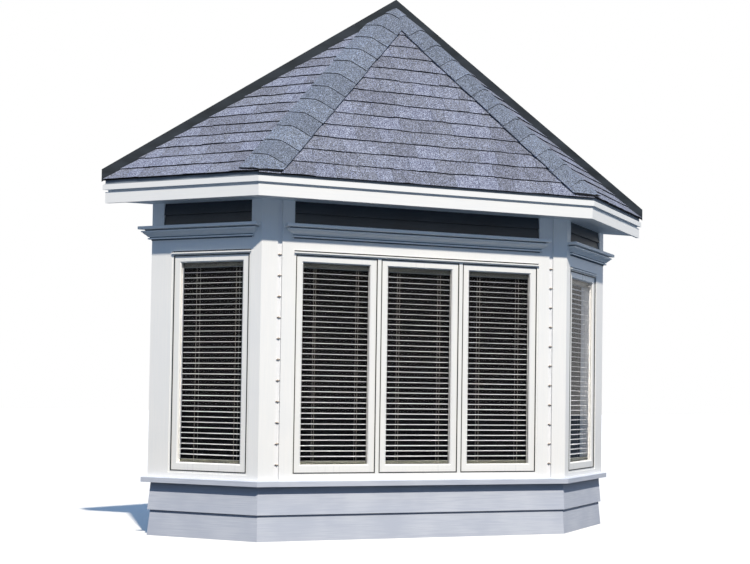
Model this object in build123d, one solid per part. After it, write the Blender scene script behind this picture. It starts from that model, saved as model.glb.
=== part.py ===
from build123d import *
import os
from math import ceil, cos, atan, radians, sin, tan

# A canted bay window from the ground up: a front with three casements, one casement
# in each angled side, hoods over the openings, a boxed eave and a hipped shingle roof.
# Frame: X runs along the house wall, Y points into the house, Z is up. The origin is on
# the wall plane, at the middle of the bay, at ground level. Millimetres.

# Plan
cant_angle = 42.0
corner_board_front = 122.0
corner_board_side = 85.0
storm_strip_width = 34.0
casing_width = 92.0
side_casing_width = 76.0
wall_board_width = 102.0

# Heights: each is the size of one piece, stacked from the ground up
floor_top = 122.0
skirt_lap = 192.0
skirt_height = 399.0
sill_nose = 37.0
sill_fall = 8.0
apron_height = 33.0
window_height = 1637.0
head_board_height = 100.0
head_gap = 16.0
hood_height = 104.0
frieze_height = 159.0
fascia_height = 138.0
eave_groove = 16.0
eave_mould_height = 40.0
roof_rise = 1546.0

# Wall and outer boards
wall_thickness = 115.0
trim_thickness = 25.0
siding_butt = 23.0
siding_tip = 8.0
sill_projection = 34.0
storm_strip_recess = 6.0
storm_strip_drop = 48.0
strip_backing_recess = 14.0

# Studs that hold the storm panels
stud_count = 11
stud_pitch = 153.6
stud_foot = 112.0
stud_size = 14.0
stud_reach = 16.0

# Window frames and casements
sash_width = 632.0
mullion_width = 36.0
frame_face = 18.0
frame_recess = 4.0
sash_recess = 4.0
sash_thickness = 38.0
sash_gap = 4.0
stop_lap = 12.0
stile_width = 51.0
top_rail = 49.0
bottom_rail = 57.0
glazing_bevel = 8.0
glass_thickness = 18.0
glass_setback = 12.0
glass_bite = 10.0
drip_cap_reach = 12.0
drip_cap_thickness = 5.0
drip_cap_lip = 5.0

# Blinds behind the glass
blind_setback = 60.0
blind_side_gap = 5.0
headrail_height = 72.0
slat_depth = 50.0
slat_thickness = 3.0
slat_pitch = 40.0
slat_rail_height = 22.0
slat_floor_gap = 50.0
ladder_width = 6.0
ladder_thickness = 1.5
ladder_places = (0.18, 0.75)

# Hood moulding over each opening
hood_projection = 75.0
hood_lip = 19.0
hood_bead = 14.0
hood_bead_reach = 14.0
hood_cove_top = 60.0

# Eave
overhang = 238.0
fascia_thickness = 20.0
eave_groove_depth = 14.0
mould_thickness = 14.0
soffit_thickness = 12.0
soffit_lift = 15.0
band_depth = 89.0
framing_thickness = 38.0

# Roof layers, measured plumb
shingle_lift = 59.0
shingle_layer = 20.0
deck_layer = 25.0
rafter_depth = 130.0
hip_depth = 155.0
shingle_exposure = 127.0
shingle_butt = 8.0
shingle_overhang = 20.0
rafter_spacing = 400.0
cap_exposure = 180.0
cap_width = 150.0
cap_butt = 13.0
cap_tip = 5.0
flashing_height = 75.0
flashing_thickness = 3.0

# Inside
deck_board = 33.0
joist_spacing = 400.0
ceiling_thickness = 13.0
inner_casing_width = 44.0
inner_casing_thickness = 18.0

# Plan sizes that follow
frame_width_front = 3 * sash_width + 2 * mullion_width + 2 * frame_face
frame_width_side = sash_width + 2 * frame_face
half_front = frame_width_front / 2 + casing_width + storm_strip_width + corner_board_front
front_width = 2 * half_front
cant_length = corner_board_side + frame_width_side + side_casing_width + wall_board_width
cant_run = cant_length * cos(radians(cant_angle))
projection = cant_length * sin(radians(cant_angle))
arris_slope = tan(radians(cant_angle / 2))
wall_slope = 1 / tan(radians(cant_angle))
wall_face = trim_thickness
wall_back = trim_thickness + wall_thickness

# Heights that follow
sill_top = skirt_height + sill_nose + sill_fall
window_bottom = sill_top + apron_height
window_top = window_bottom + window_height
hood_bottom = window_top + head_board_height
hood_top = hood_bottom + hood_height
fascia_bottom = hood_top + frieze_height
fascia_top = fascia_bottom + fascia_height
soffit_bottom = fascia_bottom + soffit_lift
wall_top = soffit_bottom + soffit_thickness
band_top = wall_top + band_depth
eave_height = fascia_top + shingle_lift
apex_height = eave_height + roof_rise
deck_underside = shingle_layer + deck_layer
reach = 3 * (front_width + projection)


class Facet:
    """One flat side of the bay. Along it x runs left to right, y goes into the wall."""

    def __init__(self, name, length, centre, turn, left_slope, right_slope, run):
        self.name = name
        self.length = length
        self.place = Location((centre[0], centre[1], 0), (0, 0, turn))
        self.left_slope = left_slope
        self.right_slope = right_slope
        self.run = run                       # plan distance from this side to the apex
        self.pitch = roof_rise / (run + overhang)

    def left(self, y):
        return -self.length / 2 + y * self.left_slope

    def right(self, y):
        return self.length / 2 - y * self.right_slope

    def surface(self, y, drop=0.0):
        return eave_height + (y + overhang) * self.pitch - drop


front = Facet("front", front_width, (0, -projection), 0, arris_slope, arris_slope, projection)
side_centre = half_front + cant_run / 2
side_apex_run = (half_front + cant_run) * sin(radians(cant_angle))
left = Facet("left", cant_length, (-side_centre, -projection / 2), -cant_angle,
             wall_slope, arris_slope, side_apex_run)
right = Facet("right", cant_length, (side_centre, -projection / 2), cant_angle,
              arris_slope, wall_slope, side_apex_run)
facets = (front, left, right)
sides = (left, right)


def prism_x(points, x0, x1):
    outline = make_face(Polyline(*[(x0, y, z) for y, z in points], close=True))
    return extrude(outline, amount=x1 - x0, dir=(1, 0, 0))


def prism_y(points, y0, y1):
    outline = make_face(Polyline(*[(x, y0, z) for x, z in points], close=True))
    return extrude(outline, amount=y1 - y0, dir=(0, 1, 0))


def prism_z(points, z0, z1):
    outline = make_face(Polyline(*[(x, y, z0) for x, y in points], close=True))
    return extrude(outline, amount=z1 - z0, dir=(0, 0, 1))


def block(x0, x1, y0, y1, z0, z1):
    return prism_z([(x0, y0), (x1, y0), (x1, y1), (x0, y1)], z0, z1)


def slab(facet, y0, y1, z0, z1, x0=None, x1=None):
    """A board along a side. An end that is not given is mitred or cut at the wall plane."""
    corners = [
        (facet.left(y0) if x0 is None else x0, y0),
        (facet.right(y0) if x1 is None else x1, y0),
        (facet.right(y1) if x1 is None else x1, y1),
        (facet.left(y1) if x0 is None else x0, y1),
    ]
    return prism_z(corners, z0, z1)


def moulding(facet, section, x0=None, x1=None):
    """A section of (y, z) points run along a side, with the ends of a slab."""
    depths = [y for y, z in section]
    heights = [z for y, z in section]
    room = slab(facet, min(depths), max(depths), min(heights), max(heights), x0, x1)
    return prism_x(section, -reach, reach) & room


def lapped_section(levels):
    """Lapped boards between the given heights: thick at the bottom edge, thin at the top."""
    points = [(wall_face, levels[0])]
    for low, high in zip(levels[:-1], levels[1:]):
        points.append((wall_face - siding_butt, low))
        points.append((wall_face - siding_tip, high))
    points.append((wall_face, levels[-1]))
    return points


def corner_of(offset):
    """Plan point of the right-hand arris of the outline that lies offset outside the faces."""
    return (half_front + offset * arris_slope, -projection - offset)


def outline(offset):
    """Plan outline of the bay, offset outwards, closed along the wall plane."""
    x, y = corner_of(offset)
    wall_x = half_front + cant_run + offset / sin(radians(cant_angle))
    return [(-wall_x, 0), (-x, y), (x, y), (wall_x, 0)]


# Plan of one hip: from the apex on the wall plane to the corner of the eave
hip_corner = corner_of(overhang)


def sector(facet, z0, z1):
    """The space over one side, out to the hips."""
    stretch = 1.5
    x = hip_corner[0] * stretch
    y = hip_corner[1] * stretch
    if facet is front:
        points = [(0, 0), (-x, y), (x, y)]
    elif facet is left:
        points = [(0, 0), (-reach, 0), (-reach, y), (-x, y)]
    else:
        points = [(0, 0), (x, y), (reach, y), (reach, 0)]
    return prism_z(points, z0, z1)


# Window positions along each side: centres of the casements, and the frame's ends
front_centres = [i * (sash_width + mullion_width) for i in (-1, 0, 1)]
side_window_centre = cant_length / 2 - corner_board_side - frame_width_side / 2


def side_sign(facet):
    """+1 where the arris is at the right-hand end of the side, -1 where it is at the left."""
    return 1 if facet is left else -1


def window_centres(facet):
    if facet is front:
        return front_centres
    return [side_sign(facet) * side_window_centre]


def frame_span(facet):
    centres = window_centres(facet)
    grow = sash_width / 2 + frame_face
    return centres[0] - grow, centres[-1] + grow


sash_bottom = window_bottom + frame_face
sash_top = window_top - frame_face
stop_face = frame_recess + sash_recess + sash_thickness


def wall(facet):
    x0, x1 = frame_span(facet)
    panel = slab(facet, wall_face, wall_back, 0, wall_top)
    return panel - block(x0, x1, wall_face, wall_back, window_bottom, window_top)


def drip_cap(x0, x1):
    """Folded cap over the head of a frame, with a lip turned down in front of it."""
    top = window_top + drip_cap_thickness
    lip = drip_cap_reach - drip_cap_thickness
    section = [(wall_face, window_top), (wall_face, top), (-drip_cap_reach, top),
               (-drip_cap_reach, window_top - drip_cap_lip), (-lip, window_top - drip_cap_lip),
               (-lip, window_top)]
    return prism_x(section, x0, x1)


def window_frame(facet):
    x0, x1 = frame_span(facet)
    body = block(x0, x1, frame_recess, wall_back, window_bottom, window_top)
    body += drip_cap(x0, x1)
    for centre in window_centres(facet):
        half = sash_width / 2
        body -= block(centre - half, centre + half, frame_recess, stop_face, sash_bottom, sash_top)
        half -= stop_lap
        body -= block(centre - half, centre + half, stop_face, wall_back,
                      sash_bottom + stop_lap, sash_top - stop_lap)
    return body


def daylight(centre, grow=0.0):
    """Edges of the glass that shows in a casement: x0, x1, z0, z1."""
    half = sash_width / 2 - sash_gap - stile_width + grow
    low = sash_bottom + sash_gap + bottom_rail - grow
    high = sash_top - sash_gap - top_rail + grow
    return centre - half, centre + half, low, high


def glazing_place():
    y0 = frame_recess + sash_recess + glass_setback
    return y0, y0 + glass_thickness


def pane(centre):
    x0, x1, z0, z1 = daylight(centre, glass_bite)
    y0, y1 = glazing_place()
    return block(x0, x1, y0, y1, z0, z1)


def rectangle_at(y, x0, x1, z0, z1):
    return make_face(Polyline((x0, y, z0), (x1, y, z0), (x1, y, z1), (x0, y, z1), close=True))


def casement(centre):
    half = sash_width / 2 - sash_gap
    face = frame_recess + sash_recess
    body = block(centre - half, centre + half, face, stop_face, sash_bottom + sash_gap,
                 sash_top - sash_gap)
    x0, x1, z0, z1 = daylight(centre)
    body -= block(x0, x1, face, stop_face, z0, z1)
    inner = rectangle_at(face + glazing_bevel, *daylight(centre))
    outer = rectangle_at(face, *daylight(centre, glazing_bevel))
    body -= loft([outer, inner], ruled=True)
    return body - pane(centre)


def blind(centre):
    """Head rail, slats, bottom rail and the two ladders that carry the slats."""
    half = sash_width / 2 - stop_lap - blind_side_gap
    x0 = centre - half
    x1 = centre + half
    y0 = blind_setback
    y1 = blind_setback + slat_depth
    top = sash_top - stop_lap
    rail_bottom = top - headrail_height
    foot = sash_bottom + stop_lap + slat_floor_gap
    body = block(x0, x1, y0, y1, rail_bottom, top)
    body += block(x0, x1, y0, y1, foot, foot + slat_rail_height)
    count = int((rail_bottom - foot - slat_rail_height) / slat_pitch)
    slats = []
    for i in range(1, count + 1):
        z = rail_bottom - i * slat_pitch
        slats.append(block(x0, x1, y0, y1, z, z + slat_thickness))
    for share in ladder_places:
        x = x0 + share * (x1 - x0)
        slats.append(block(x - ladder_width / 2, x + ladder_width / 2, y0 - ladder_thickness, y0,
                           foot, rail_bottom + slat_rail_height))
    return body.fuse(*slats)


def skirt(facet):
    return moulding(facet, lapped_section([0, skirt_lap, skirt_height]))


def water_table(facet):
    section = [
        (wall_face, skirt_height),
        (-sill_projection, skirt_height),
        (-sill_projection, skirt_height + sill_nose),
        (0, sill_top),
        (wall_face, sill_top),
    ]
    return moulding(facet, section)


def corner_board(side):
    """Two boards that meet at the arris, up to the soffit."""
    front_end = half_front - corner_board_front
    board = cant_length / 2 - corner_board_side
    if side is left:
        on_front = slab(front, 0, wall_face, sill_top, soffit_bottom, x1=-front_end)
        on_side = slab(side, 0, wall_face, sill_top, soffit_bottom, x0=board)
    else:
        on_front = slab(front, 0, wall_face, sill_top, soffit_bottom, x0=front_end)
        on_side = slab(side, 0, wall_face, sill_top, soffit_bottom, x1=-board)
    return front.place * on_front + side.place * on_side


def casing_front():
    """Upright boards beside the window, with a head board and an apron between them."""
    inner = frame_width_front / 2
    outer = inner + casing_width
    body = block(-inner, inner, 0, wall_face, sill_top, window_bottom)
    body += block(-inner, inner, 0, wall_face, window_top + head_gap, hood_top)
    body += block(-outer, -inner, 0, wall_face, sill_top, soffit_bottom)
    body += block(inner, outer, 0, wall_face, sill_top, soffit_bottom)
    return body


def casing_side(facet):
    """The board next to the house, the casing beside it, the head board and the apron."""
    x0, x1 = frame_span(facet)
    edge = cant_length / 2 - wall_board_width
    if facet is left:
        board = slab(facet, 0, wall_face, sill_top, soffit_bottom, x1=-edge)
        lower = block(-edge, x1, 0, wall_face, sill_top, window_bottom)
        upper = block(-edge, x1, 0, wall_face, window_top + head_gap, hood_top)
        jamb = block(-edge, x0, 0, wall_face, window_bottom, window_top + head_gap)
    else:
        board = slab(facet, 0, wall_face, sill_top, soffit_bottom, x0=edge)
        lower = block(x0, edge, 0, wall_face, sill_top, window_bottom)
        upper = block(x0, edge, 0, wall_face, window_top + head_gap, hood_top)
        jamb = block(x1, edge, 0, wall_face, window_bottom, window_top + head_gap)
    return board + lower + upper + jamb


def storm_strip(side):
    """A strip in the joint beside the corner board, with a column of studs, and a thinner
    board that closes the joint above it."""
    sign = -1 if side is left else 1
    outer = half_front - corner_board_front
    middle = sign * (outer - storm_strip_width / 2)
    half = storm_strip_width / 2
    top = hood_bottom - storm_strip_drop
    body = block(middle - half, middle + half, storm_strip_recess, wall_face, sill_top, top)
    body += block(middle - half, middle + half, strip_backing_recess, wall_face, top,
                  soffit_bottom)
    for i in range(stud_count):
        head = extrude(RegularPolygon(stud_size / 2, 6), amount=stud_reach)
        height = sill_top + stud_foot + i * stud_pitch
        body += Pos(middle, storm_strip_recess, height) * Rot(90, 0, 0) * head
    return front.place * body


def hood_span(facet):
    x0, x1 = frame_span(facet)
    edge = cant_length / 2 - wall_board_width
    if facet is left:
        x0 = -edge
    if facet is right:
        x1 = edge
    return x0, x1


def hood_profile():
    """(reach, z) up the face of the moulding: bead, fillet, ogee and lip."""
    lip_bottom = hood_top - hood_lip
    cove_low = hood_bottom + hood_bead
    middle = (cove_low + lip_bottom) / 2
    steps = 4
    span = hood_cove_top - hood_bead_reach
    points = [(hood_bead_reach, hood_bottom), (hood_bead_reach, cove_low)]
    for i in range(1, 2 * steps):
        share = i / (2 * steps)
        z = cove_low + share * (lip_bottom - cove_low)
        if z <= middle:
            bend = 2 * share ** 2
        else:
            bend = 1 - 2 * (1 - share) ** 2
        points.append((hood_bead_reach + span * bend, z))
    points.append((hood_cove_top, lip_bottom))
    points.append((hood_projection, lip_bottom))
    points.append((hood_projection, hood_top))
    return points


def hood_cap(facet):
    """The lip of a side's hood, run on over the end board to the house wall."""
    x0, x1 = hood_span(facet)
    if facet is left:
        return slab(facet, -hood_projection, 0, hood_top - hood_lip, hood_top, x1=x0)
    return slab(facet, -hood_projection, 0, hood_top - hood_lip, hood_top, x0=x1)


def hood(facet):
    """The moulding with its ends returned to the wall: two runs of the same section."""
    x0, x1 = hood_span(facet)
    profile = hood_profile()
    across = [(0, hood_bottom)] + [(-reach_out, z) for reach_out, z in profile] + [(0, hood_top)]
    along = [(x1 + reach_out, z) for reach_out, z in profile]
    back = [(x0 - reach_out, z) for reach_out, z in reversed(profile)]
    face_run = prism_x(across, x0 - hood_projection, x1 + hood_projection)
    end_run = prism_y(along + back, -hood_projection, 0)
    body = face_run & end_run
    if facet is not front:
        body += hood_cap(facet)
    return body


def frieze(facet):
    x0, x1 = hood_span(facet)
    middle = (hood_top + soffit_bottom) / 2
    return moulding(facet, lapped_section([hood_top, middle, soffit_bottom]), x0, x1)


def soffit(facet):
    return slab(facet, fascia_thickness - overhang, wall_face, soffit_bottom, wall_top)


def fascia(facet):
    """The eave board, grooved under the moulding planted on its upper edge."""
    top = eave_height - deck_underside
    back = fascia_thickness - overhang
    mould_foot = fascia_top - eave_mould_height
    groove_foot = mould_foot - eave_groove
    section = [(back, fascia_bottom), (-overhang, fascia_bottom), (-overhang, groove_foot),
               (eave_groove_depth - overhang, groove_foot),
               (eave_groove_depth - overhang, mould_foot),
               (-overhang - mould_thickness, mould_foot), (-overhang - mould_thickness, fascia_top),
               (-overhang, fascia_top), (-overhang, top), (back, top)]
    return moulding(facet, section)


def roof_piece(facet, section, offset):
    """A section of the roof over one side, cut at the hips, the eave outline and the wall."""
    heights = [z for y, z in section]
    z0 = min(heights)
    z1 = max(heights)
    body = facet.place * prism_x(section, -reach, reach)
    body &= sector(facet, z0, z1)
    return body & prism_z(outline(offset), z0, z1)


def roof_deck(facet):
    y0 = -overhang
    y1 = facet.run
    section = [(y0, facet.surface(y0, deck_underside)), (y0, facet.surface(y0, shingle_layer)),
               (y1, facet.surface(y1, shingle_layer)), (y1, facet.surface(y1, deck_underside))]
    return roof_piece(facet, section, overhang)


def shingles(facet):
    """Courses of shingles, each thick at its lower edge and lapped under the next."""
    slope = atan(facet.pitch)
    step = shingle_exposure * cos(slope)
    butt = shingle_butt / cos(slope)
    y0 = -overhang - shingle_overhang
    count = ceil((facet.run - y0) / step)
    section = [(y0, facet.surface(y0, shingle_layer))]
    for i in range(count):
        low = y0 + i * step
        high = min(low + step, facet.run)
        section.append((low, facet.surface(low)))
        section.append((high, facet.surface(high, butt)))
    section.append((facet.run, facet.surface(facet.run, shingle_layer)))
    return roof_piece(facet, section, overhang + shingle_overhang)


def roof_normal(facet):
    """Upward unit normal of the roof over one side, in the bay's frame."""
    turn = Location((0, 0, 0), (0, 0, facet.place.orientation.Z))
    local = Vector(0, -facet.pitch, 1).normalized()
    return (turn * Pos(local)).position


def hip_caps(side):
    """Shingles folded over one hip, lapped up the slope."""
    sign = -1 if side is left else 1
    eave = Vector(sign * hip_corner[0], hip_corner[1], eave_height)
    apex = Vector(0, 0, apex_height)
    climb = (apex - eave).normalized()
    front_normal = roof_normal(front)
    side_normal = roof_normal(side)
    front_wing = front_normal.cross(climb).normalized() * sign
    side_wing = side_normal.cross(climb).normalized() * -sign
    mitre = (front_normal + side_normal) / (1 + front_normal.dot(side_normal))

    def section(distance, thickness):
        ridge = eave + climb * distance
        points = [
            ridge,
            ridge + front_wing * cap_width,
            ridge + front_wing * cap_width + front_normal * thickness,
            ridge + mitre * thickness,
            ridge + side_wing * cap_width + side_normal * thickness,
            ridge + side_wing * cap_width,
        ]
        return make_face(Polyline(*points, close=True))

    start = -cap_exposure
    count = ceil(((apex - eave).length - start) / cap_exposure) + 1
    caps = []
    for i in range(count):
        low = start + i * cap_exposure
        caps.append(loft([section(low, cap_butt), section(low + cap_exposure, cap_tip)],
                         ruled=True))
    chain = caps[0].fuse(*caps[1:])
    top = apex_height + cap_width
    room = prism_z(outline(overhang + shingle_overhang), fascia_bottom, top)
    room &= block(min(0, sign * reach), max(0, sign * reach), -reach, -flashing_thickness,
                  fascia_bottom, top)
    return chain & room


def wall_flashing():
    """Upstand along the wall over the roof, on both rakes."""
    wall_x = half_front + cant_run + (overhang + shingle_overhang) / sin(radians(cant_angle))
    eave_z = left.surface(-overhang - shingle_overhang)
    rise = flashing_height
    points = [(-wall_x, eave_z), (0, apex_height), (wall_x, eave_z), (wall_x, eave_z + rise),
              (0, apex_height + rise), (-wall_x, eave_z + rise)]
    return prism_y(points, -flashing_thickness, 0)


def roof_mass(drop):
    """Everything over the walls and under the three roof slopes, lowered by drop."""
    eave = eave_height - drop
    body = prism_z(outline(overhang), 0, apex_height)
    for facet in facets:
        section = [(-reach, 0), (reach, 0), (reach, facet.surface(reach, drop)),
                   (-overhang, eave), (-reach, eave)]
        body &= facet.place * prism_x(section, -reach, reach)
    return body


def clear_of_wall(z0, z1):
    """The space outside the ledger on the wall and behind the eave board."""
    front_space = block(-reach, reach, -reach, -framing_thickness, z0, z1)
    return front_space & prism_z(outline(overhang - fascia_thickness), z0, z1)


def hip_plate(side):
    """The upright plate under one hip, before its edges are cut."""
    sign = -1 if side is left else 1
    along = Vector(sign * hip_corner[0], hip_corner[1], 0).normalized()
    across = Vector(-along.Y, along.X, 0) * (framing_thickness / 2)
    far = along * reach
    plan = [(across.X, across.Y), (far.X + across.X, far.Y + across.Y),
            (far.X - across.X, far.Y - across.Y), (-across.X, -across.Y)]
    return prism_z(plan, band_top, apex_height)


def hip_rafters():
    """A rafter under each hip, bevelled to both slopes, deeper than the rafters it carries."""
    shell = roof_mass(deck_underside) - roof_mass(deck_underside + hip_depth)
    shell &= clear_of_wall(band_top, apex_height)
    return [hip_plate(side) & shell for side in sides]


def spread(length, spacing):
    """Even places along a length, centred on its middle."""
    count = int(length / spacing)
    return [(i - (count - 1) / 2) * spacing for i in range(count)]


def rafters():
    """Common and jack rafters from the eave up to the hips or the ledger."""
    y0 = fascia_thickness - overhang
    low = deck_underside + rafter_depth
    half = framing_thickness / 2
    room = clear_of_wall(band_top, apex_height) - hip_plate(left) - hip_plate(right)
    pieces = []
    for facet in facets:
        y1 = facet.run
        foot = y0 + (band_top - facet.surface(y0, low)) / facet.pitch
        section = [(y0, band_top), (y0, facet.surface(y0, deck_underside)),
                   (y1, facet.surface(y1, deck_underside)), (y1, facet.surface(y1, low)),
                   (foot, band_top)]
        over = sector(facet, band_top, apex_height) & room
        for x in spread(facet.length, rafter_spacing):
            pieces.append(facet.place * prism_x(section, x - half, x + half) & over)
    return pieces


def eave_ladder(facet):
    """Band behind the eave board, plate on the wall and lookouts between, nailed together."""
    outer = fascia_thickness - overhang
    half = framing_thickness / 2
    body = slab(facet, outer, outer + framing_thickness, wall_top, band_top)
    pieces = [slab(facet, wall_back - framing_thickness, wall_back, wall_top, band_top)]
    for x in spread(facet.length, rafter_spacing):
        pieces.append(block(x - half, x + half, outer, wall_back, wall_top, band_top))
    return facet.place * body.fuse(*pieces) & clear_of_wall(wall_top, band_top)


def roof_ledger():
    """Boards on the house wall: one under each rake and one across the foot of the roof."""
    wall_x = outline(overhang - fascia_thickness)[3][0]
    inner_top = apex_height - deck_underside - rafter_depth
    slope = roof_rise / outline(overhang)[3][0]
    inner_x = (inner_top - band_top) / slope
    body = block(-wall_x, wall_x, -framing_thickness, 0, wall_top, apex_height)
    body &= prism_z(outline(overhang - fascia_thickness), wall_top, apex_height)
    body &= roof_mass(deck_underside)
    return body - prism_y([(-inner_x, band_top), (inner_x, band_top), (0, inner_top)],
                          -framing_thickness, 0)


def floor_plan():
    return outline(-wall_back)


def floor_joists():
    """Separate joists, from the ledger to the front wall."""
    joist_top = floor_top - deck_board
    half = framing_thickness / 2
    room = prism_z(floor_plan(), 0, joist_top)
    width = 2 * floor_plan()[3][0]
    return [block(x - half, x + half, -projection, -framing_thickness, 0, joist_top) & room
            for x in spread(width, joist_spacing)]


def floor_ledger():
    """Board on the house wall that carries the floor joists."""
    joist_top = floor_top - deck_board
    return prism_z(floor_plan(), 0, joist_top) & block(-reach, reach, -framing_thickness, 0, 0,
                                                       joist_top)


def floor_deck():
    return prism_z(floor_plan(), floor_top - deck_board, floor_top)


def ceiling():
    return prism_z(floor_plan(), wall_top - ceiling_thickness, wall_top)


def inner_casing(facet):
    """Flat boards round the opening on the room side, scribed into the inner corners."""
    x0, x1 = frame_span(facet)
    y1 = wall_back + inner_casing_thickness
    w = inner_casing_width
    body = block(x0 - w, x1 + w, wall_back, y1, window_bottom - w, window_top + w)
    body &= slab(facet, wall_back, y1, window_bottom - w, window_top + w)
    return body - block(x0, x1, wall_back, y1, window_bottom, window_top)


def on_place(facet, body):
    return facet.place * body


def group(solids):
    return Compound(children=list(solids))


def each(shape, where):
    """One solid of a kind on each of the given sides, as a group."""
    return group(on_place(facet, shape(facet)) for facet in where)


def each_window(shape, where):
    return group(on_place(facet, shape(centre)) for facet in where
                 for centre in window_centres(facet))


parts = {
    "floor_joists": group(floor_joists()),
    "floor_deck": floor_deck(),
    "wall_front": on_place(front, wall(front)),
    "wall_left": on_place(left, wall(left)),
    "wall_right": on_place(right, wall(right)),
    "skirt_front": on_place(front, skirt(front)),
    "skirt_sides": each(skirt, sides),
    "water_table_front": on_place(front, water_table(front)),
    "water_table_sides": each(water_table, sides),
    "corner_board_left": corner_board(left),
    "corner_board_right": corner_board(right),
    "casing_front": on_place(front, casing_front()),
    "casing_sides": each(casing_side, sides),
    "storm_strips": group(storm_strip(side) for side in sides),
    "hoods": each(hood, facets),
    "frieze": each(frieze, facets),
    "frame_front": on_place(front, window_frame(front)),
    "frame_sides": each(window_frame, sides),
    "sash_left": on_place(left, casement(window_centres(left)[0])),
    "sash_right": on_place(right, casement(window_centres(right)[0])),
    "glass": each_window(pane, facets),
    "blinds_front": each_window(blind, [front]),
    "blinds_sides": each_window(blind, sides),
    "inner_casing": each(inner_casing, facets),
    "ceiling": ceiling(),
    "soffit_front": on_place(front, soffit(front)),
    "soffit_sides": each(soffit, sides),
    "fascia_front": on_place(front, fascia(front)),
    "fascia_sides": each(fascia, sides),
    "eave_ladder_front": eave_ladder(front),
    "eave_ladder_sides": group(eave_ladder(side) for side in sides),
    "wall_ledgers": group([floor_ledger(), roof_ledger()]),
    "hip_rafters": group(hip_rafters()),
    "rafters": group(rafters()),
    "roof_deck_front": roof_deck(front),
    "roof_deck_sides": group(roof_deck(side) for side in sides),
    "shingles_front": shingles(front),
    "shingles_left": shingles(left),
    "shingles_right": shingles(right),
    "hip_caps_left": hip_caps(left),
    "hip_caps_right": hip_caps(right),
    "wall_flashing": wall_flashing(),
}
for name, centre in zip(("left", "middle", "right"), front_centres):
    parts[f"sash_front_{name}"] = on_place(front, casement(centre))

os.makedirs("parts", exist_ok=True)
for name, solid in parts.items():
    export_step(solid, f"parts/{name}.step")
    print(name, round(solid.volume / 1e6, 3), "litres")
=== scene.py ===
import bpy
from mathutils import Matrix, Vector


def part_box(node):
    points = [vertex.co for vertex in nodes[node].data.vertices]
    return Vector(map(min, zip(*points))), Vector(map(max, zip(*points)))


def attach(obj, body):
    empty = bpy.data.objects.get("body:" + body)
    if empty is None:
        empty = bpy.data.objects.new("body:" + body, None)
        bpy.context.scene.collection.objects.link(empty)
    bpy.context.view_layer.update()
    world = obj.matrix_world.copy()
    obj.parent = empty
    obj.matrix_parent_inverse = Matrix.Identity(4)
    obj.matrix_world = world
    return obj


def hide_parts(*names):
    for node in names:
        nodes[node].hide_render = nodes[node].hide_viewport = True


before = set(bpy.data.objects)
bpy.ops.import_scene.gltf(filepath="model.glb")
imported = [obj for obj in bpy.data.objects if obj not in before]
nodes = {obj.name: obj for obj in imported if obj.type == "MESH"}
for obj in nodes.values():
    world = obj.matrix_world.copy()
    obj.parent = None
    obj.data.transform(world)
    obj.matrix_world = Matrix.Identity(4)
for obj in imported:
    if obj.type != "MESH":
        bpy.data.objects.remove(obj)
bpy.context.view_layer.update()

import ast
from math import ceil, cos, pi, radians, sin, sqrt, tan

import bmesh
import bpy
from mathutils import Matrix, Vector

# Canted bay window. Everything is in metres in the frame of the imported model:
# X along the house wall, Y into the house, Z up from the ground.
scene = bpy.context.scene
print("frame loaded,", len(nodes), "nodes")


def linearColour(hexValue):
    parts = [int(hexValue[i:i + 2], 16) / 255 for i in (1, 3, 5)]
    return tuple(c / 12.92 if c <= 0.04045 else ((c + 0.055) / 1.055) ** 2.4 for c in parts) + (1.0,)


def firstOutput(node):
    return next(output for output in node.outputs if output.enabled)


def fillInputs(tree, node, inputs):
    # A value is a number, a vector, a hex colour, a socket, or a node whose first output is meant
    for key, value in inputs.items():
        socket = node.inputs[key]
        if isinstance(value, bpy.types.Node):
            value = firstOutput(value)
        if isinstance(value, bpy.types.NodeSocket):
            tree.links.new(value, socket)
        else:
            socket.default_value = linearColour(value) if socket.type == "RGBA" else value


def addNode(tree, kind, inputs=None, stops=(), **settings):
    # stops are the (place, colour) pairs of a colour ramp
    node = tree.nodes.new(kind)
    for name, value in settings.items():
        setattr(node, name, value)
    fillInputs(tree, node, inputs or {})
    while stops and len(node.color_ramp.elements) < len(stops):
        node.color_ramp.elements.new(0.5)
    for i, (place, colour) in enumerate(stops):
        node.color_ramp.elements[i].position = place
        node.color_ramp.elements[i].color = linearColour(colour)
    return node


# What the signs and words of a formula are as nodes
formulaSigns = {ast.Add: "ADD", ast.Sub: "SUBTRACT", ast.Mult: "MULTIPLY", ast.Div: "DIVIDE",
                ast.Lt: "LESS_THAN", ast.Gt: "GREATER_THAN", "max": "MAXIMUM", "min": "MINIMUM",
                "floor": "FLOOR", "root": "SQRT", "abs": "ABSOLUTE", "dot": "DOT_PRODUCT",
                "unit": "NORMALIZE"}
formulaWords = {
    "xyz": ("ShaderNodeCombineXYZ", ("X", "Y", "Z"), {}),
    "random": ("FunctionNodeRandomValue", ("Min", "Max", "Seed", "ID"), {}),
    "noise": ("ShaderNodeTexNoise", ("Vector", "Scale", "Detail"), {}),
    "ease": ("ShaderNodeMapRange", ("Value", "From Min", "From Max"), {"interpolation_type": "SMOOTHSTEP"}),
}


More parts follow.
